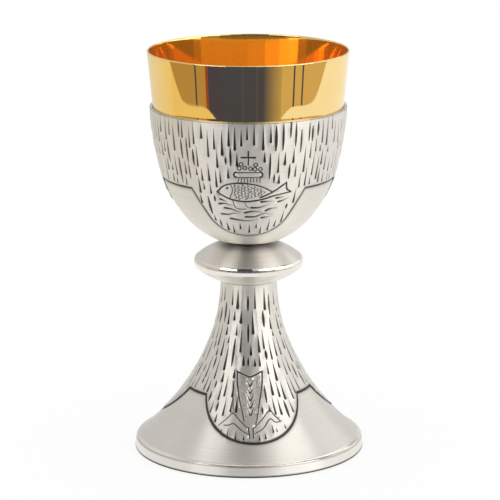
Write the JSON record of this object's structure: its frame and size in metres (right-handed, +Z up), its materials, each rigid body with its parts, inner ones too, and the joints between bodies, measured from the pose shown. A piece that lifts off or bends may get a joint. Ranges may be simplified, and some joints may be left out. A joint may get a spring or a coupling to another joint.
{
  "type": "ciborium cup",
  "caption": "Footed church cup with a gilt bowl in a chased silver shell, round knop and trumpet foot; the bowl unscrews from the knop.",
  "frame": {"origin": "centre of the foot on the surface that it stands on", "axes": "+Z up along the axis of the cup; -Y towards the front of the ornament; +X to the right seen from the front"},
  "size_m": [0.114, 0.114, 0.2],
  "materials": {
    "silver_chased": "silver-plated brass, satin, with dark patina in the chased strokes",
    "silver_satin": "silver-plated brass, satin brushed",
    "silver_polished": "silver-plated brass, polished",
    "gilt": "gilded brass, polished",
    "brass": "turned brass",
    "steel": "zinc-plated steel"
  },
  "bodies": {
    "foot": {"base_ring": "silver_polished", "foot_bell": "silver_chased", "stem_cap": "silver_satin", "clamp_washer": "steel", "spring_washer": "steel", "foot_bolt": "steel", "knop_lower": "silver_satin", "knop_core": "brass", "knop_upper": "silver_satin"},
    "collar": {"neck_collar": "silver_satin"},
    "cup": {"shell": "silver_chased", "bowl_boss": "brass", "bowl_stud": "steel", "bowl": "gilt"}
  },
  "joints": [
    {"name": "cup_rise", "type": "slide", "parent": "foot", "child": "collar", "axis": [0, 0, 1], "range_m": [0, 0.00969]},
    {"name": "cup_turn", "type": "hinge", "parent": "collar", "child": "cup", "pos_m": [0, 0, 0.104], "axis": [0, 0, 1], "range_deg": [0, 2790]}
  ],
  "couplings": [
    {"joint": "cup_rise", "follows": "cup_turn", "m_per_rad": 0.00019894}
  ]
}
